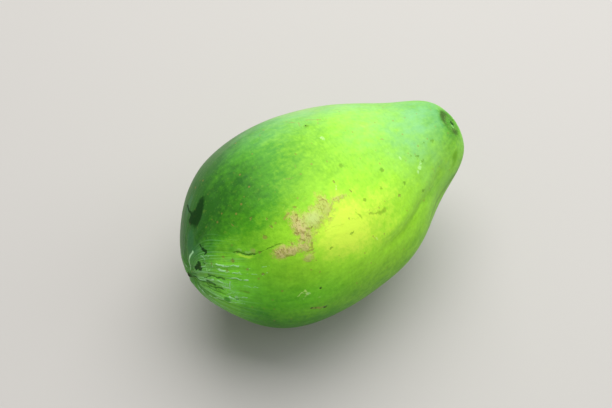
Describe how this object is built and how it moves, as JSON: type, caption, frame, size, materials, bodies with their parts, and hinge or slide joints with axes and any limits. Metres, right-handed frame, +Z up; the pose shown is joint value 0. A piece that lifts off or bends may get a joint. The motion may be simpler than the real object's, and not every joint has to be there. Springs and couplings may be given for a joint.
{
  "type": "papaya",
  "caption": "Whole unripe papaya lying on its side: pear-like fruit with five soft lobes, an upturned neck and a small flat spot to rest on.",
  "frame": {"origin": "on the resting plane, below the middle of the fruit's bounding box", "axes": "+X from the blossom end to the stem end, +Z up, with the flat spot facing -Z"},
  "size_m": [0.1594, 0.1028, 0.103],
  "materials": {
    "papaya_skin": "satin"
  },
  "bodies": {
    "root": {"papaya": "papaya_skin"}
  },
  "joints": []
}
